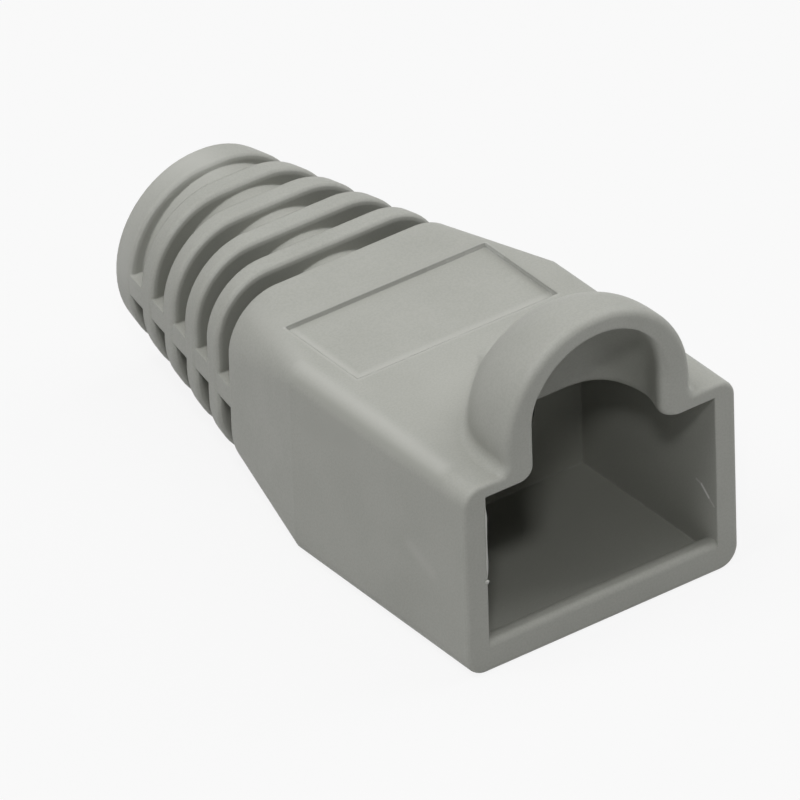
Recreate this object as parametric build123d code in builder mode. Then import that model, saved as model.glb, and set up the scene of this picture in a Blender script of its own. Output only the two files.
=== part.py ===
"""Strain relief boot that slides over the back of an eight-way modular plug.

One soft moulding: a rectangular head that takes the plug, a hood over the plug's latch, a neck that
narrows towards the cable, and a tail with slots that lets the cable bend.

The mouth faces -Y, the cable leaves along +Y, and the boot lies on the flat underside of its head.
The origin is at the middle of the boot's length and width, on the surface that it lies on.
"""
import os
from math import acos, atan2, cos, degrees, hypot, radians, sin, sqrt

from build123d import *

# Plug pocket in the head
pocket_width = 12.0
pocket_height = 8.0
pocket_depth = 9.4
side_wall = 1.1
floor_wall = 0.7
roof_wall = 0.6

# Head and overall length
boot_length = 28.6
head_length = 12.2
head_top_radius = 0.85
head_bottom_radius = 0.95
mouth_edge_radius = 0.2
mouth_edge_sections = 4

# Lip across the bottom of the mouth, which stops the boot slipping off the plug
lip_height = 0.75
lip_length = 1.05
lip_front_radius = 0.3
lip_rear_radius = 0.6

# Hood over the latch: an arch that sinks into the top of the head and narrows as it sinks
hood_side_wall = 1.16
hood_top_wall = 0.85
hood_level_length = 0.4
hood_length = 8.3
hood_end_rise = 0.03
hood_narrowing = 0.68
hood_sink_power = 1.62
hood_sections = 11
hood_foot_radius = 0.5
hood_edge_radius = 0.4
hood_edge_sections = 6

# Hollow under the hood, where the latch moves
hollow_radius = 3.7
hollow_leg_height = 1.9
hollow_length = 4.62
hollow_plan_power = 3.8
hollow_last_angle = 82
hollow_sections = 8
hollow_foot_radius = 0.45
hollow_back_wall = 0.4

# Shallow panel on the top, behind the hood
panel_width = 10.5
panel_length = 5.1
panel_gap = 1.55
panel_front_depth = 0.3
panel_rear_depth = 0.2

# Neck and tail, round at its end
neck_bottom_radius = 3.1
neck_top_radius = 2.55
tail_radius = 4.43
tail_axis_height = 5.0
tail_edge_radius = 0.25
end_flat = 0.01
bore_radius = 3.1
funnel_radius = 3.6
funnel_length = 7.6

# Slots above and below a web on each side
slot_count = 5
slot_pitch = 2.035
slot_width = 1.15
slot_floor_wall = 0.95
web_height = 1.0
core_front_height = 4.63
core_rear_height = 5.1
web_recess = 0.04
ring_edge_radius = 0.3
ring_edge_sections = 4
end_ring_length = 1.44

# Sizes that follow
head_width = pocket_width + 2 * side_wall
head_height = floor_wall + pocket_height + roof_wall
pocket_roof_height = floor_wall + pocket_height
mouth_y = -boot_length / 2
last_slot = boot_length - end_ring_length - slot_width / 2
first_slot = last_slot - (slot_count - 1) * slot_pitch
neck_end = first_slot - slot_width / 2
tail_round_start = boot_length - tail_edge_radius
neck_share = (neck_end - head_length) / (boot_length - head_length)
neck_width = head_width + neck_share * (2 * tail_radius - head_width)
neck_height = head_height + neck_share * (tail_axis_height + tail_radius - head_height)
slot_floor_radius = bore_radius + slot_floor_wall
hollow_top = pocket_roof_height + hollow_leg_height + hollow_radius
hood_radius = hollow_radius + hood_side_wall
hood_top = hollow_top + hood_top_wall
panel_start = hood_length + panel_gap


def across(distance):
    """Plane across the boot at a distance behind the mouth, facing the tail."""
    return Plane(origin=(0, mouth_y + distance, 0), x_dir=(-1, 0, 0), z_dir=(0, 1, 0))


def quarter_round(radius, sections):
    """Depth behind a rounded edge's front and inset from its side, for each section across the edge."""
    turns = [radians(90 * number / (sections - 1)) for number in range(sections)]
    return [(radius * (1 - cos(turn)), radius * (1 - sin(turn))) for turn in turns]


def rounded_outline(width, bottom, top, bottom_radius, top_radius):
    """Rectangle that stands on a height, with its own radius below and above."""
    with BuildSketch(Plane.XY) as outline:
        with Locations((0, (bottom + top) / 2)):
            Rectangle(width, top - bottom)
        fillet(outline.vertices().group_by(Axis.Y)[0], bottom_radius)
        fillet(outline.vertices().group_by(Axis.Y)[-1], top_radius)
    return outline.sketch


def head_outline(inset=0):
    """Outline of the head, drawn in by an inset."""
    return rounded_outline(head_width - 2 * inset, inset, head_height - inset,
                           head_bottom_radius - inset, head_top_radius - inset)


def tail_share(distance):
    """How far along the tail a distance behind the mouth lies, from 0 at its start to 1 at its end."""
    return (distance - neck_end) / (boot_length - neck_end)


def tail_width(distance):
    """Width of the tail at a distance behind the mouth."""
    return neck_width + tail_share(distance) * (2 * tail_radius - neck_width)


def tail_outline(distance, inset=0):
    """Outline of the tail, rounder and smaller towards its end, drawn in by an inset."""
    share = tail_share(distance)
    bottom = share * (tail_axis_height - tail_radius) + inset
    top = neck_height + share * (tail_axis_height + tail_radius - neck_height) - inset
    end_radius = tail_radius - end_flat
    bottom_radius = neck_bottom_radius + share * (end_radius - neck_bottom_radius) - inset
    top_radius = neck_top_radius + share * (end_radius - neck_top_radius) - inset
    return rounded_outline(tail_width(distance) - 2 * inset, bottom, top, bottom_radius, top_radius)


def sunk(distance):
    """How far the hood's ridge has sunk at a distance behind the mouth, along a smooth S."""
    share = (distance - hood_level_length) / (hood_length - hood_level_length)
    share = min(max(share, 0), 1)
    smooth = share * share * (3 - 2 * share)
    return (hood_top - head_height - hood_end_rise) * smooth ** hood_sink_power


def arch(radius, top, ground, foot_radius, base, legs=False):
    """Round arch flared where it meets the ground, with straight legs or none, and a block under it."""
    axis_height = top - radius
    foot_height = ground + foot_radius
    leg = axis_height - foot_height if legs else 0
    reach = hypot(radius + foot_radius, leg)
    foot_x = sqrt(reach ** 2 - (axis_height - foot_height) ** 2)
    turn = atan2(foot_height - axis_height, foot_x) + acos((radius + foot_radius) / reach)
    leg_top = (radius * cos(turn), axis_height + radius * sin(turn))
    leg_foot = (foot_x - foot_radius * cos(turn), foot_height - foot_radius * sin(turn))
    with BuildSketch(Plane.XY) as outline:
        with BuildLine():
            Line((0, base), (foot_x, base))
            Line((foot_x, base), (foot_x, ground))
            RadiusArc((foot_x, ground), leg_foot, foot_radius)
            if legs:
                Line(leg_foot, leg_top)
            CenterArc((0, axis_height), radius, degrees(turn), 90 - degrees(turn))
            mirror(about=Plane.YZ)
        make_face()
    return outline.sketch


# Hood, with a rounded front edge, lofted through arches that shrink and sink towards the neck
with BuildPart() as hood:
    for depth, inset in quarter_round(hood_edge_radius, hood_edge_sections):
        with BuildSketch(across(depth)):
            add(arch(hood_radius - inset, hood_top - inset, head_height - inset,
                     hood_foot_radius + inset, pocket_roof_height))
    loft(ruled=True)
    for number in range(hood_sections):
        distance = hood_edge_radius + (hood_length - hood_edge_radius) * number / (hood_sections - 1)
        drop = sunk(distance)
        with BuildSketch(across(distance)):
            add(arch(hood_radius - hood_narrowing * drop, hood_top - drop, head_height,
                     hood_foot_radius, pocket_roof_height))
    loft()

# Core that leaves the hollow under the hood
with BuildPart() as hollow_core:
    for number in range(hollow_sections):
        angle = radians(hollow_last_angle * number / (hollow_sections - 1))
        distance = hollow_length * sin(angle) ** (2 / hollow_plan_power)
        radius = hollow_radius * cos(angle) ** (2 / hollow_plan_power)
        drop = sunk(distance + hollow_back_wall)
        with BuildSketch(across(distance)):
            add(arch(radius, hollow_top - drop, pocket_roof_height, hollow_foot_radius,
                     pocket_roof_height - roof_wall, legs=True))
    loft()

with BuildPart() as boot:
    # Head, with a rounded edge round the mouth, and neck
    for depth, inset in quarter_round(mouth_edge_radius, mouth_edge_sections):
        with BuildSketch(across(depth)):
            add(head_outline(inset))
    with BuildSketch(across(head_length)):
        add(head_outline())
    with BuildSketch(across(neck_end)):
        add(tail_outline(neck_end))
    loft(ruled=True)

    # Core that carries the rings, and the web along each side
    for distance, height in ((neck_end, core_front_height), (tail_round_start, core_rear_height)):
        with BuildSketch(across(distance)):
            with Locations((0, height)):
                Circle(slot_floor_radius)
    loft(ruled=True)
    for distance, height in ((neck_end, core_front_height), (tail_round_start, core_rear_height)):
        with BuildSketch(across(distance)):
            with Locations((0, height)):
                Rectangle(tail_width(distance) - 2 * web_recess, web_height)
    loft(ruled=True)

    # Rings, each with a rounded edge towards the mouth
    for number in range(slot_count):
        ring_start = first_slot + number * slot_pitch + slot_width / 2
        is_last = number == slot_count - 1
        ring_end = tail_round_start if is_last else ring_start + slot_pitch - slot_width
        for depth, inset in quarter_round(ring_edge_radius, ring_edge_sections):
            with BuildSketch(across(ring_start + depth)):
                add(tail_outline(ring_start + depth, inset))
        with BuildSketch(across(ring_end)):
            add(tail_outline(ring_end))
        if is_last:
            for inset, depth in quarter_round(tail_edge_radius, ring_edge_sections)[1:]:
                with BuildSketch(across(ring_end + tail_edge_radius - depth)):
                    add(tail_outline(ring_end, inset))
        loft(ruled=True)

    add(hood.part)

    # Plug pocket, which leaves the lip standing on its floor
    lip_top = floor_wall + lip_height
    back_y = mouth_y + pocket_depth
    with BuildSketch(Plane.YZ) as pocket_side:
        with BuildLine():
            Polyline((mouth_y - lip_length, pocket_roof_height), (back_y, pocket_roof_height),
                     (back_y, floor_wall), (mouth_y + lip_length, floor_wall),
                     (mouth_y + lip_length, lip_top), (mouth_y, lip_top),
                     (mouth_y, floor_wall + lip_height / 2),
                     (mouth_y - lip_length, floor_wall + lip_height / 2), close=True)
        make_face()
        for corner_y, radius in ((mouth_y, lip_front_radius), (mouth_y + lip_length, lip_rear_radius)):
            fillet(pocket_side.vertices().sort_by_distance((corner_y, lip_top))[0], radius)
    extrude(amount=pocket_width / 2, both=True, mode=Mode.SUBTRACT)
    add(hollow_core.part, mode=Mode.SUBTRACT)

    # Panel on the top
    with BuildSketch(Plane.YZ):
        with BuildLine():
            panel_end = mouth_y + panel_start + panel_length
            Polyline((mouth_y + panel_start, 2 * head_height),
                     (mouth_y + panel_start, head_height - panel_front_depth),
                     (panel_end, head_height - panel_rear_depth),
                     (panel_end, 2 * head_height), close=True)
        make_face()
    extrude(amount=panel_width / 2, both=True, mode=Mode.SUBTRACT)

    # Funnel and cable bore
    with BuildSketch(across(pocket_depth)):
        with Locations((0, tail_axis_height)):
            Circle(funnel_radius)
    with BuildSketch(across(pocket_depth + funnel_length)):
        with Locations((0, tail_axis_height)):
            Circle(bore_radius)
    loft(mode=Mode.SUBTRACT)
    with BuildSketch(across(pocket_depth)):
        with Locations((0, tail_axis_height)):
            Circle(bore_radius)
    extrude(amount=boot_length - pocket_depth, mode=Mode.SUBTRACT)

boot.part.label = "boot"
os.makedirs("parts", exist_ok=True)
export_step(boot.part, "parts/boot.step")
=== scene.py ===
"""Looks of the strain relief boot: soft grey PVC on a plain pale floor, in soft studio light.

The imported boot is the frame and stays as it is. This file gives it its finish, adds the flash that
the mould left at the mouth, and sets up the floor, the lights and the camera of the photograph.
All lengths are in metres, with +Z up, the mouth towards -Y and the cable's end towards +Y. Only the
strokes of the marks and the camera's sensor are in millimetres.
"""

import logging
from dataclasses import dataclass, field
from enum import Enum
from math import cos, radians, sin
from typing import Any, Sequence

import bmesh
import bpy
from mathutils import Matrix, Vector


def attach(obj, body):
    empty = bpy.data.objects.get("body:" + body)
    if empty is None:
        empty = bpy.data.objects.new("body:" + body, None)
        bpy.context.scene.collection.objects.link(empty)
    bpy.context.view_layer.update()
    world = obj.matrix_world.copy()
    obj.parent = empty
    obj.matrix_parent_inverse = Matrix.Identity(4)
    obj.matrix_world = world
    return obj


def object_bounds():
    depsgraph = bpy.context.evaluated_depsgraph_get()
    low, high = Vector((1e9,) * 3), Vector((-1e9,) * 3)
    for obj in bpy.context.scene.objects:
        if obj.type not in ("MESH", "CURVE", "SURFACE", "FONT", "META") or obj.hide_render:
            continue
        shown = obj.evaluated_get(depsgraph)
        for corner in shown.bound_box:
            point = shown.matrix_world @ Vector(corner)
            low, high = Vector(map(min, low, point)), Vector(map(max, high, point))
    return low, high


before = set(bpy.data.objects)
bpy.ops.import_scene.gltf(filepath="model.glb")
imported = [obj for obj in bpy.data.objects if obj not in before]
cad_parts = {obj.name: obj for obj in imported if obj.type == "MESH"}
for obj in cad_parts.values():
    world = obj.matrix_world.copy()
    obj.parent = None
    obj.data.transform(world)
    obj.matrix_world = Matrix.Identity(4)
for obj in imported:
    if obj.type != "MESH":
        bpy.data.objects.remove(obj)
cad_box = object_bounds()

log = logging.getLogger("boot")

MILLIMETRE = 0.001
MOUTH = -14.3 * MILLIMETRE
IMAGE_SIDE = 800

Colour = tuple[float, float, float]
Point = tuple[float, float, float]
Range = tuple[float, float]

WHITE = (1.0, 1.0, 1.0, 1.0)
PATTERN_MIDDLE = 0.5


class Tone(Enum):
    """What a mark does to the moulding's colour."""

    # This tone also carries painted shade, under the top's left corner and along the panel's back
    # and right edges
    DARKENED = "a little darker, where dust has settled"
    # This tone also carries painted highlights on edges and painted light on the end ring
    LIGHTENED = "a little lighter, as on a handled edge"
    # This tone also carries painted light on the panel's shaded back and right walls
    MUCH_LIGHTENED = "much lighter, as in a scratch"


class Amount:
    """A number socket of a node tree, with the arithmetic that the finishes use on it."""

    def __init__(self, recipe: "Recipe", socket: bpy.types.NodeSocket) -> None:
        """Keeps the socket and the recipe that it belongs to."""
        self.recipe = recipe
        self.socket = socket

    def _math(self, operation: str, first: Any, second: Any) -> "Amount":
        """Adds a Math node.

        Args:
            operation: The Math node's operation.
            first: Its first value or socket.
            second: Its second value or socket.

        Returns:
            The node's result.
        """
        node = self.recipe.node("ShaderNodeMath", {"operation": operation}, {0: first, 1: second})
        return Amount(self.recipe, node.outputs[0])

    def __add__(self, other: Any) -> "Amount":
        """Sum."""
        return self._math("ADD", self, other)

    def __radd__(self, other: Any) -> "Amount":
        """Sum with a number before it."""
        return self._math("ADD", other, self)

    def __sub__(self, other: Any) -> "Amount":
        """Difference."""
        return self._math("SUBTRACT", self, other)

    def __rsub__(self, other: Any) -> "Amount":
        """Difference from a number before it."""
        return self._math("SUBTRACT", other, self)

    def __mul__(self, other: Any) -> "Amount":
        """Product."""
        return self._math("MULTIPLY", self, other)

    def __rmul__(self, other: Any) -> "Amount":
        """Product with a number before it."""
        return self._math("MULTIPLY", other, self)

    def __truediv__(self, other: Any) -> "Amount":
        """Quotient."""
        return self._math("DIVIDE", self, other)

    def lowest(self, other: Any) -> "Amount":
        """The lower of the two."""
        return self._math("MINIMUM", self, other)

    def highest(self, other: Any) -> "Amount":
        """The higher of the two."""
        return self._math("MAXIMUM", self, other)

    def step(self, start: float, end: float) -> "Amount":
        """Smooth step.

        Args:
            start: Where the result is 0.
            end: Where the result is 1.

        Returns:
            A value that goes smoothly from 0 to 1.
        """
        node = self.recipe.node(
            "ShaderNodeMapRange",
            {"interpolation_type": "SMOOTHSTEP"},
            {"Value": self, "From Min": start, "From Max": end},
        )
        return Amount(self.recipe, node.outputs["Result"])


Socket = float | Sequence[float] | Amount | bpy.types.NodeSocket


class Recipe:
    """A node tree under construction, for a finish or for the world."""

    def __init__(self, tree: bpy.types.NodeTree) -> None:
        """Empties the tree and keeps it."""
        tree.nodes.clear()
        self.tree = tree

    @classmethod
    def of_material(cls, name: str) -> tuple["Recipe", bpy.types.Material]:
        """Makes a material with nodes.

        Args:
            name: The material's name.

        Returns:
            The recipe and the material.
        """
        material = bpy.data.materials.new(name)
        material.use_nodes = True
        return cls(material.node_tree), material

    def node(
        self,
        kind: str,
        settings: dict[str, Any] | None = None,
        sockets: dict[int | str, Socket] | None = None,
    ) -> bpy.types.Node:
        """Adds a node.

        Args:
            kind: The node's type.
            settings: Its properties, set before its sockets.
            sockets: Values or links of its inputs, by name or number.

        Returns:
            The node.
        """
        made = self.tree.nodes.new(kind)
        for name, value in (settings or {}).items():
            setattr(made, name, value)
        for key, value in (sockets or {}).items():
            source = value.socket if isinstance(value, Amount) else value
            if isinstance(source, bpy.types.NodeSocket):
                self.tree.links.new(source, made.inputs[key])
            else:
                made.inputs[key].default_value = source
        return made

    def amount(self, node: bpy.types.Node, output: int | str = 0) -> Amount:
        """A node's output as a number."""
        return Amount(self, node.outputs[output])

    def shown(self) -> Amount:
        """1 for the rays that see the white ground: camera, glossy and transmission."""
        paths = self.node("ShaderNodeLightPath")
        seen = self.amount(paths, "Is Camera Ray").highest(self.amount(paths, "Is Glossy Ray"))
        return seen.highest(self.amount(paths, "Is Transmission Ray"))

    def vector(self, operation: str, first: Socket, second: Socket) -> bpy.types.Node:
        """Adds a Vector Math node of two vectors."""
        return self.node("ShaderNodeVectorMath", {"operation": operation}, {0: first, 1: second})

    def mix(
        self,
        share: Amount,
        first: Colour | bpy.types.NodeSocket,
        second: Colour | bpy.types.NodeSocket,
    ) -> bpy.types.NodeSocket:
        """Mixes two colours.

        Args:
            share: How much of the second colour shows, from 0 to 1.
            first: A colour or its socket.
            second: A colour or its socket.

        Returns:
            The mixed colour's socket.
        """
        ends = [(*end, 1) if isinstance(end, tuple) else end for end in (first, second)]
        # The node has sockets for each type of data, and these numbers are those of its colours
        sockets = {0: share, 6: ends[0], 7: ends[1]}
        return self.node("ShaderNodeMix", {"data_type": "RGBA"}, sockets).outputs[2]


@dataclass(frozen=True)
class Pattern:
    """A noise pattern.

    Attributes:
        size: Size of its largest blots in metres.
        detail: How many finer layers it has.
        roughness: How strong the finer layers are.
    """

    size: float
    detail: float = 2.0
    roughness: float = 0.5

    def make(self, recipe: Recipe, place: Socket) -> Amount:
        """Adds the pattern to a recipe.

        Args:
            recipe: The finish under construction.
            place: The coordinates it reads.

        Returns:
            The pattern, about 0 to 1.
        """
        noise = recipe.node(
            "ShaderNodeTexNoise",
            {"normalize": True},
            {
                "Vector": place,
                "Scale": 1 / self.size,
                "Detail": self.detail,
                "Roughness": self.roughness,
            },
        )
        return recipe.amount(noise, "Fac")


@dataclass(frozen=True)
class Stroke:
    """A straight piece of a mark on the surface, in millimetres."""

    start: Point
    end: Point
    width: float
    strength: float
    tone: Tone

    def mask(self, recipe: Recipe, place: bpy.types.NodeSocket) -> Amount:
        """Adds the stroke to a recipe.

        Args:
            recipe: The finish under construction.
            place: Its coordinates.

        Returns:
            The stroke's strength on its line, falling to 0 at its width.
        """
        first = Vector(self.start) * MILLIMETRE
        run = Vector(self.end) * MILLIMETRE - first
        reach = recipe.vector("SUBTRACT", place, tuple(first)).outputs["Vector"]
        along = recipe.amount(recipe.vector("DOT_PRODUCT", reach, tuple(run)), "Value")
        share = (along / run.length_squared).highest(0.0).lowest(1.0)
        scaled = {0: tuple(run), "Scale": share}
        foot = recipe.node("ShaderNodeVectorMath", {"operation": "SCALE"}, scaled)
        gap = recipe.vector("DISTANCE", reach, foot.outputs["Vector"])
        return recipe.amount(gap, "Value").step(self.width * MILLIMETRE, 0.0) * self.strength


# Scratch on the pocket's right wall, just inside the mouth
MOUTH_SCRATCH: tuple[Stroke, ...] = (
    Stroke((6.0, -12.90, 3.95), (6.0, -13.25, 3.86), 0.10, 0.35, Tone.MUCH_LIGHTENED),
    Stroke((6.0, -13.25, 3.86), (6.0, -13.73, 3.44), 0.12, 0.9, Tone.MUCH_LIGHTENED),
    Stroke((6.0, -13.73, 3.44), (6.0, -14.07, 3.17), 0.10, 0.35, Tone.MUCH_LIGHTENED),
)
# Blemish on the hood's front rim
HOOD_BLEMISH: tuple[Stroke, ...] = (
    Stroke((2.12, -14.1, 13.95), (2.25, -14.1, 13.85), 0.14, 0.2, Tone.MUCH_LIGHTENED),
)
# Lighter smudge low on the left side, and a darker patch behind it
SIDE_SMUDGES: tuple[Stroke, ...] = (
    Stroke((-7.1, -10.38, 4.79), (-7.1, -11.89, 4.17), 0.55, 0.35, Tone.LIGHTENED),
    Stroke((-7.1, -6.2, 8.0), (-7.1, -3.4, 7.4), 1.6, 0.6, Tone.DARKENED),
)
# Painted highlight along the top's left corner, with a painted shade line under it, standing in for
# the light on a softer edge
TOP_CORNER_PAINTED_LIGHT: tuple[Stroke, ...] = (
    Stroke((-6.45, -12.0, 9.3), (-6.45, -1.9, 9.3), 0.65, 0.7, Tone.LIGHTENED),
    Stroke((-6.45, -1.9, 9.3), (-5.3, 3.0, 9.25), 0.9, 0.4, Tone.LIGHTENED),
    Stroke((-6.95, -12.5, 8.95), (-6.95, -1.9, 8.95), 0.45, 0.8, Tone.DARKENED),
)
# Painted light on the end ring's upper left, its lit side
TAIL_END_PAINTED_LIGHT: tuple[Stroke, ...] = (
    Stroke((-0.5, 13.7, 9.4), (-4.4, 13.7, 5.5), 2.2, 0.9, Tone.LIGHTENED),
)
# The panel's edges: painted highlights in front and on the left; behind and on the right, painted
# light on the shaded walls and a painted shade line along them
PANEL_EDGE_PAINTED_LIGHT: tuple[Stroke, ...] = (
    Stroke((-5.25, -4.5, 9.3), (5.25, -4.5, 9.3), 0.16, 0.55, Tone.LIGHTENED),
    Stroke((-5.3, -4.45, 9.3), (-5.3, 0.65, 9.3), 0.16, 0.55, Tone.LIGHTENED),
    Stroke((-4.9, -3.98, 9.0), (5.25, -3.98, 9.0), 0.36, 0.65, Tone.LIGHTENED),
    Stroke((-4.9, -3.98, 9.0), (-4.98, 0.65, 9.1), 0.36, 0.65, Tone.LIGHTENED),
    Stroke((-5.25, 0.65, 9.2), (5.25, 0.65, 9.2), 0.18, 0.35, Tone.MUCH_LIGHTENED),
    Stroke((2.2, 0.65, 9.2), (5.25, 0.65, 9.2), 0.18, 0.43, Tone.MUCH_LIGHTENED),
    Stroke((3.2, 0.65, 9.2), (5.25, 0.65, 9.2), 0.18, 0.51, Tone.MUCH_LIGHTENED),
    Stroke((4.2, 0.65, 9.2), (5.25, 0.65, 9.2), 0.18, 0.59, Tone.MUCH_LIGHTENED),
    Stroke((-5.25, 0.65, 9.2), (5.25, 0.65, 9.2), 0.45, 0.8, Tone.DARKENED),
    Stroke((5.25, -4.45, 9.15), (5.25, 0.65, 9.2), 0.18, 0.3, Tone.MUCH_LIGHTENED),
    Stroke((5.25, -0.6, 9.2), (5.25, 0.65, 9.2), 0.18, 0.5, Tone.MUCH_LIGHTENED),
    Stroke((5.25, -4.45, 9.15), (5.25, 0.65, 9.2), 0.45, 0.8, Tone.DARKENED),
)


@dataclass(frozen=True)
class SoftPvc:
    """Finish of the moulding: matte grey PVC with the fine grain of its mould.

    The edges are a little rounded and lighter, partly from wear as on a soft moulding that has been
    handled and partly a painted highlight, and the hollows carry painted shade. How open a point
    lies is 1 on a bare face and 0 deep in a hollow.

    Attributes:
        name: The material's name.
        colour: The bare plastic.
        shade: The plastic where dust has settled, and the painted shade under the top's left corner
            and along the panel's back and right edges.
        worn_and_highlight: The plastic on handled edges, and the painted highlight on edges, on the
            top's left corner and on the end ring.
        scuff_and_painted_light: The plastic in a scratch, and the painted light on the panel's
            shaded back and right walls.
        hollow: Painted shade deep in a hollow.
        hollow_reach: How far from a point the walls that close it in may be.
        hollow_open: How open a point lies where the painted shade of a hollow starts and where it is
            full.
        wear_and_highlight_open: How open an edge lies where its lightening starts and where it is
            full.
        wear_and_highlight_turn: How far an edge turns where its lightening starts and where it is
            full.
        wear_and_highlight_blots: The blots between which the lightening grows from its least to
            full.
        wear_and_highlight_least: The least lightening of an edge.
        dust_blots: The blots between which dust grows from none to its share.
        dust_blots_share: The dust's share from the blots.
        dust_grain: The grain between which dust grows from none to its share.
        dust_grain_share: The dust's share from the grain.
        speck_grain: The grain between which the light specks grow from none to their share.
        speck_share: How strong the specks are.
        samples: Rays of the nodes that look at the shape around a point.
        blots: Large uneven patches.
        grain: The mould's fine grain.
        wave: Slight unevenness of the faces.
        grain_depth: How deep the grain is.
        wave_depth: How deep the unevenness is.
        edge: Radius of the softened edges.
        roughness: Middle roughness.
        roughness_spread: How much the grain changes the roughness.
        marks: Strokes of the single marks and tones.
    """

    name: str = "soft_grey_pvc"
    colour: Colour = (0.402, 0.406, 0.372)
    shade: Colour = (0.354, 0.358, 0.325)
    worn_and_highlight: Colour = (0.470, 0.474, 0.440)
    scuff_and_painted_light: Colour = (0.80, 0.805, 0.78)
    hollow: Colour = (0.272, 0.275, 0.246)
    hollow_reach: float = 12.0 * MILLIMETRE
    hollow_open: Range = (0.75, 0.15)
    wear_and_highlight_open: Range = (0.45, 0.75)
    wear_and_highlight_turn: Range = (0.02, 0.25)
    wear_and_highlight_blots: Range = (0.3, 0.6)
    wear_and_highlight_least: float = 0.3
    dust_blots: Range = (0.35, 0.68)
    dust_blots_share: float = 0.4
    dust_grain: Range = (0.4, 0.65)
    dust_grain_share: float = 0.6
    speck_grain: Range = (0.62, 0.85)
    speck_share: float = 0.1
    samples: int = 4
    blots: Pattern = Pattern(3.2 * MILLIMETRE, 3.0, 0.55)
    grain: Pattern = Pattern(0.10 * MILLIMETRE, 3.0, 0.6)
    wave: Pattern = Pattern(1.6 * MILLIMETRE)
    grain_depth: float = 0.0035 * MILLIMETRE
    wave_depth: float = 0.006 * MILLIMETRE
    edge: float = 0.13 * MILLIMETRE
    roughness: float = 0.56
    roughness_spread: float = 0.16
    marks: tuple[Stroke, ...] = (
        *MOUTH_SCRATCH,
        *HOOD_BLEMISH,
        *SIDE_SMUDGES,
        *TOP_CORNER_PAINTED_LIGHT,
        *TAIL_END_PAINTED_LIGHT,
        *PANEL_EDGE_PAINTED_LIGHT,
    )

    def make(self) -> bpy.types.Material:
        """Makes the material.

        Returns:
            The material, ready to assign.
        """
        recipe, material = Recipe.of_material(self.name)
        place = recipe.node("ShaderNodeTexCoord").outputs["Object"]
        blots = self.blots.make(recipe, place)
        grain = self.grain.make(recipe, place)
        wave = self.wave.make(recipe, place)
        rounded = recipe.node("ShaderNodeBevel", {"samples": self.samples}, {"Radius": self.edge})
        soft = rounded.outputs["Normal"]
        sharp = recipe.node("ShaderNodeNewGeometry").outputs["Normal"]
        turned = 1 - recipe.amount(recipe.vector("DOT_PRODUCT", soft, sharp), "Value")
        # Ambient occlusion finds the hollows, which get painted shade
        nook = recipe.node(
            "ShaderNodeAmbientOcclusion",
            {"samples": self.samples, "only_local": True},
            {"Distance": self.hollow_reach, "Normal": soft},
        )
        bare = recipe.amount(nook, "AO")
        dust = blots.step(*self.dust_blots) * self.dust_blots_share
        # Lighter rounded edges: partly wear, partly a painted highlight
        handled = turned.step(*self.wear_and_highlight_turn) * bare.step(*self.wear_and_highlight_open)
        uneven = self.wear_and_highlight_least + (1 - self.wear_and_highlight_least) * blots.step(*self.wear_and_highlight_blots)
        shares = {
            Tone.DARKENED: dust + grain.step(*self.dust_grain) * self.dust_grain_share,
            Tone.LIGHTENED: handled * uneven,
            Tone.MUCH_LIGHTENED: grain.step(*self.speck_grain) * self.speck_share,
        }
        # The marks add real scratches and smudges, and also painted highlights, painted light and
        # painted shade
        for mark in self.marks:
            shares[mark.tone] = shares[mark.tone].highest(mark.mask(recipe, place))
        tint = recipe.mix(shares[Tone.DARKENED], self.colour, self.shade)
        # Painted shade: the hollows are darkened towards the hollow colour by ambient occlusion
        tint = recipe.mix(bare.step(*self.hollow_open), tint, self.hollow)
        tint = recipe.mix(shares[Tone.LIGHTENED], tint, self.worn_and_highlight)
        tint = recipe.mix(shares[Tone.MUCH_LIGHTENED], tint, self.scuff_and_painted_light)
        relief = grain * self.grain_depth + wave * self.wave_depth
        bump = recipe.node(
            "ShaderNodeBump",
            sockets={"Height": relief, "Strength": 1.0, "Distance": 1.0, "Normal": soft},
        )
        surface = recipe.node(
            "ShaderNodeBsdfPrincipled",
            sockets={
                "Base Color": tint,
                "Roughness": self.roughness + (grain - PATTERN_MIDDLE) * self.roughness_spread,
                "Normal": bump.outputs["Normal"],
            },
        )
        recipe.node("ShaderNodeOutputMaterial", sockets={"Surface": surface.outputs["BSDF"]})
        return material


@dataclass(frozen=True)
class FlashPvc:
    """Finish of the flash: the same PVC, with a lighter colour that is a painted highlight for the
    thin flash's bright line.
    """

    name: str = "thin_pvc_flash"
    colour: Colour = (0.56, 0.565, 0.535)
    grain: Pattern = Pattern(0.06 * MILLIMETRE)
    roughness: float = 0.5
    roughness_spread: float = 0.2

    def make(self) -> bpy.types.Material:
        """Makes the material.

        Returns:
            The material, ready to assign.
        """
        recipe, material = Recipe.of_material(self.name)
        place = recipe.node("ShaderNodeTexCoord").outputs["Object"]
        grain = self.grain.make(recipe, place)
        surface = recipe.node(
            "ShaderNodeBsdfPrincipled",
            sockets={
                "Base Color": recipe.mix(grain, self.colour, SoftPvc.worn_and_highlight),
                "Roughness": self.roughness + (grain - PATTERN_MIDDLE) * self.roughness_spread,
            },
        )
        recipe.node("ShaderNodeOutputMaterial", sockets={"Surface": surface.outputs["BSDF"]})
        return material


def direction(azimuth: float, elevation: float) -> Vector:
    """Unit vector from the boot towards a viewer.

    Args:
        azimuth: Angle round the boot in degrees, 0 in front of its mouth and 90 on its +X side.
        elevation: Angle above the floor in degrees.

    Returns:
        The vector.
    """
    around, above = radians(azimuth), radians(elevation)
    return Vector((sin(around) * cos(above), -cos(around) * cos(above), sin(above)))


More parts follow.
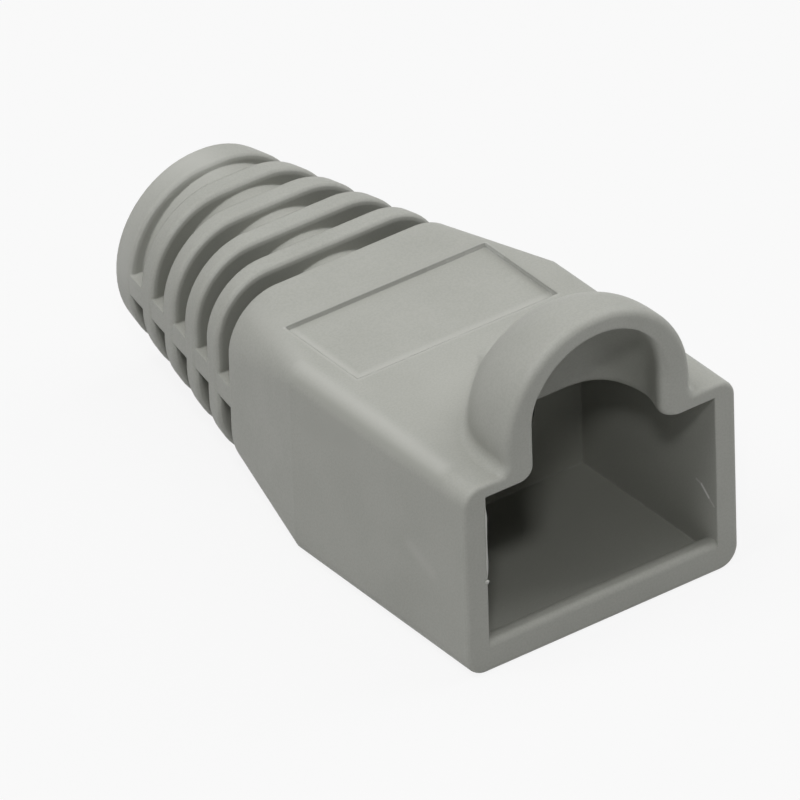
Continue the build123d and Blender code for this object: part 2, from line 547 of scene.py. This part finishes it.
def as_object(
    name: str,
    shape: bmesh.types.BMesh,
    material: bpy.types.Material,
) -> bpy.types.Object:
    """Turns a finished shape into an object at the origin.

    Args:
        name: The object's name.
        shape: The shape, in the frame's coordinates, which is freed.
        material: Its finish.

    Returns:
        The object, linked to the scene.
    """
    mesh = bpy.data.meshes.new(name)
    shape.to_mesh(mesh)
    shape.free()
    mesh.materials.append(material)
    piece = bpy.data.objects.new(name, mesh)
    bpy.context.scene.collection.objects.link(piece)
    return piece


@dataclass(frozen=True)
class PaleFloor:
    """Plain pale floor, shown white, with a light shadow under the boot."""

    name: str = "pale_floor"
    side: float = 3.0
    colour: Colour = (0.6, 0.6, 0.6)
    shown_white: float = 0.88

    def make(self) -> bpy.types.Object:
        """Makes the floor under the boot.

        Returns:
            The floor, marked as no part of the object.
        """
        recipe, material = Recipe.of_material(self.name)
        matt = recipe.node("ShaderNodeBsdfDiffuse", sockets={"Color": (*self.colour, 1)})
        white = recipe.node("ShaderNodeEmission", sockets={"Color": WHITE, "Strength": 1.0})
        share = recipe.shown() * self.shown_white
        both = recipe.node(
            "ShaderNodeMixShader",
            sockets={0: share, 1: matt.outputs[0], 2: white.outputs[0]},
        )
        recipe.node("ShaderNodeOutputMaterial", sockets={"Surface": both.outputs[0]})
        shape = bmesh.new()
        bmesh.ops.create_grid(shape, x_segments=1, y_segments=1, size=self.side / 2)
        floor = as_object(self.name, shape, material)
        return floor


@dataclass(frozen=True)
class Softbox:
    """A square lamp that points at the boot, with angles in degrees and lengths in metres."""

    name: str
    azimuth: float
    elevation: float
    distance: float
    side: float
    watts: float

    def make(self, target: Vector) -> bpy.types.Object:
        """Hangs the lamp.

        Args:
            target: The point that it lights.

        Returns:
            The lamp.
        """
        lamp = bpy.data.lights.new(self.name, "AREA")
        lamp.shape = "SQUARE"
        lamp.size = self.side
        lamp.energy = self.watts
        piece = bpy.data.objects.new(self.name, lamp)
        away = direction(self.azimuth, self.elevation)
        piece.location = target + away * self.distance
        piece.rotation_mode = "QUATERNION"
        piece.rotation_quaternion = away.to_track_quat("Z", "Y")
        bpy.context.scene.collection.objects.link(piece)
        return piece


@dataclass(frozen=True)
class Studio:
    """Soft studio light: the room's own light and the lamps."""

    ambient: float = 0.025
    lamps: tuple[Softbox, ...] = (
        Softbox("overhead_lamp", -60.0, 88.0, 0.5, 0.45, 0.42),
        Softbox("left_lamp", -97.0, 62.0, 0.5, 0.25, 1.05),
        Softbox("right_lamp", 85.0, 62.0, 0.5, 0.25, 0.44),
        Softbox("low_right_lamp", 85.0, 30.0, 0.5, 0.3, 0.64),
        Softbox("back_lamp", 175.0, 35.0, 0.5, 0.3, 0.12),
        Softbox("key_lamp", -36.0, 45.0, 0.5, 0.05, 0.57),
    )

    def make(self, target: Vector) -> None:
        """Lights the scene.

        Args:
            target: The point that the lamps light.
        """
        world = bpy.data.worlds.new("studio")
        world.use_nodes = True
        recipe = Recipe(world.node_tree)
        strength = self.ambient + recipe.shown() * (1 - self.ambient)
        room = recipe.node("ShaderNodeBackground", sockets={"Color": WHITE, "Strength": strength})
        recipe.node("ShaderNodeOutputWorld", sockets={"Surface": room.outputs[0]})
        bpy.context.scene.world = world
        bpy.context.scene.view_settings.view_transform = "Standard"
        for lamp in self.lamps:
            lamp.make(target)
        log.info("lights: %d lamps", len(self.lamps))


@dataclass(frozen=True)
class Photograph:
    """Camera of the photograph, as fitted to the boot's edges.

    The angles are in degrees, the distance and the clipping in metres, and the sensor in
    millimetres. The scale is in pixels per metre at the middle of the mouth's bottom edge, which
    lies at the given pixel.
    """

    azimuth: float = -35.671
    elevation: float = 33.004
    roll: float = -1.854
    distance: float = 0.7
    scale: float = 23882.0
    pixel: tuple[float, float] = (604.827, 621.463)
    sensor: float = 36.0
    clip: Range = (0.05, 10.0)

    def make(self) -> bpy.types.Object:
        """Makes the scene's camera.

        Returns:
            The camera.
        """
        back = direction(self.azimuth, self.elevation)
        level = Vector((cos(radians(self.azimuth)), sin(radians(self.azimuth)), 0))
        upright = back.cross(level)
        turn = radians(self.roll)
        right = cos(turn) * level + sin(turn) * upright
        up = back.cross(right)
        across = (self.pixel[0] - IMAGE_SIDE / 2) / self.scale
        above = (IMAGE_SIDE / 2 - self.pixel[1]) / self.scale
        lens = bpy.data.cameras.new("photograph")
        lens.sensor_width = self.sensor
        lens.lens = self.scale * self.distance * self.sensor / IMAGE_SIDE
        lens.clip_start, lens.clip_end = self.clip
        camera = bpy.data.objects.new("photograph", lens)
        turned = Matrix((right, up, back)).transposed().to_4x4()
        spot = Vector((0, MOUTH, 0)) - right * across - up * above + back * self.distance
        camera.matrix_world = Matrix.Translation(spot) @ turned
        bpy.context.scene.collection.objects.link(camera)
        bpy.context.scene.camera = camera
        return camera


@dataclass
class MouldFlash:
    """Flash on the mouth's inner left edge: a thin sliver up the edge, and a nib on it.

    Attributes:
        edge: Where the edge lies along X.
        front: Where the mouth's face lies along Y.
        low: The sliver's lower end.
        high: The sliver's upper end.
        steps: Rings along the sliver, after the first.
        sides: Sides of each ring.
        thickness: Radius of a full ring.
        taper: The rings' fullness at the two ends.
        middle_fullness: Their fullness between the ends, before its waves.
        waves: Depth and rate of each wave of the fullness.
        opening: How fast the fullness grows from an end, per length of the sliver.
        nib_height: Where the nib lies along Z.
        nib_radius: The nib's radius.
        nib_shape: How far the nib is stretched or flattened along each axis.
        nib_shift: How far its middle lies in the wall, in radii.
        nib_detail: How finely it is divided.
        finish: Finish of both.
    """

    edge: float = -6.0 * MILLIMETRE
    front: float = MOUTH
    low: float = 4.7 * MILLIMETRE
    high: float = 8.2 * MILLIMETRE
    steps: int = 14
    sides: int = 8
    thickness: float = 0.05 * MILLIMETRE
    taper: float = 0.05
    middle_fullness: float = 0.75
    waves: tuple[Range, ...] = ((0.2, 9.0), (0.05, 31.0))
    opening: float = 8.0
    nib_height: float = 4.52 * MILLIMETRE
    nib_radius: float = 0.1 * MILLIMETRE
    nib_shape: Point = (1.1, 0.7, 1.0)
    nib_shift: float = 0.3
    nib_detail: int = 3
    finish: FlashPvc = field(default_factory=FlashPvc)

    def sliver(self, material: bpy.types.Material) -> bpy.types.Object:
        """Makes the sliver by drawing a ring up the edge in small steps.

        Args:
            material: Its finish.

        Returns:
            The piece.
        """
        shape = bmesh.new()
        first = bmesh.ops.create_circle(
            shape, cap_ends=True, segments=self.sides, radius=self.thickness
        )
        ring = first["verts"]
        middle = Vector((self.edge, self.front, self.low))
        bmesh.ops.translate(shape, verts=ring, vec=middle)
        self._scale(shape, ring, middle, self.taper)
        rise = (self.high - self.low) / self.steps
        for number in range(1, self.steps + 1):
            face = [face for face in shape.faces if all(vert in ring for vert in face.verts)]
            drawn = bmesh.ops.extrude_face_region(shape, geom=face)["geom"]
            bmesh.ops.delete(shape, geom=face, context="FACES_ONLY")
            ring = [part for part in drawn if isinstance(part, bmesh.types.BMVert)]
            bmesh.ops.translate(shape, verts=ring, vec=(0, 0, rise))
            middle.z += rise
            before = self._fullness(number - 1)
            self._scale(shape, ring, middle, self._fullness(number) / before)
        bmesh.ops.recalc_face_normals(shape, faces=shape.faces)
        return self._ride(as_object("mouth_flash", shape, material))

    def _fullness(self, number: int) -> float:
        """How full the sliver is at a step, from its pointed ends to its uneven middle."""
        share = number / self.steps
        swell = self.middle_fullness
        for depth, rate in self.waves:
            swell += depth * sin(rate * share)
        ends = min(1.0, self.opening * share, self.opening * (1.0 - share))
        return self.taper + (1.0 - self.taper) * ends * swell

    def _scale(
        self,
        shape: bmesh.types.BMesh,
        ring: list[bmesh.types.BMVert],
        middle: Vector,
        factor: float,
    ) -> None:
        """Scales a ring about its middle."""
        moved = Matrix.Translation(middle) @ Matrix.Scale(factor, 4) @ Matrix.Translation(-middle)
        bmesh.ops.transform(shape, matrix=moved, verts=ring)

    def nib(self, material: bpy.types.Material) -> bpy.types.Object:
        """Makes the nib, a small flattened bead.

        Args:
            material: Its finish.

        Returns:
            The piece.
        """
        shape = bmesh.new()
        ball = bmesh.ops.create_icosphere(
            shape, subdivisions=self.nib_detail, radius=self.nib_radius
        )
        bead = ball["verts"]
        bmesh.ops.scale(shape, verts=bead, vec=self.nib_shape)
        place = Vector((self.edge - self.nib_shift * self.nib_radius, self.front, self.nib_height))
        bmesh.ops.translate(shape, verts=bead, vec=place)
        return self._ride(as_object("mouth_nib", shape, material))

    def _ride(self, piece: bpy.types.Object) -> bpy.types.Object:
        """Shades a piece smooth and lets it ride on the boot."""
        for face in piece.data.polygons:
            face.use_smooth = True
        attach(piece, "root")
        log.info("%s: %d faces", piece.name, len(piece.data.polygons))
        return piece

    def build(self) -> None:
        """Makes both pieces in one finish."""
        material = self.finish.make()
        self.sliver(material)
        self.nib(material)


@dataclass
class Boot:
    """The moulding itself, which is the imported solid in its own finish."""

    node: str = "boot"
    finish: SoftPvc = field(default_factory=SoftPvc)

    def dress(self) -> bpy.types.Object:
        """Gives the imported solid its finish.

        Returns:
            The solid's object.
        """
        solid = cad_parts[self.node]
        material = self.finish.make()
        for place in solid.material_slots:
            place.material = material
        log.info("%s: %d faces", self.node, len(solid.data.polygons))
        return solid


def main() -> None:
    """Builds the scene piece by piece."""
    logging.basicConfig(level=logging.INFO, format="%(name)s %(message)s")
    Photograph().make()
    low, high = cad_box
    Boot().dress()
    MouldFlash().build()
    PaleFloor().make()
    Studio().make((low + high) / 2)


if __name__ == "__main__":
    main()
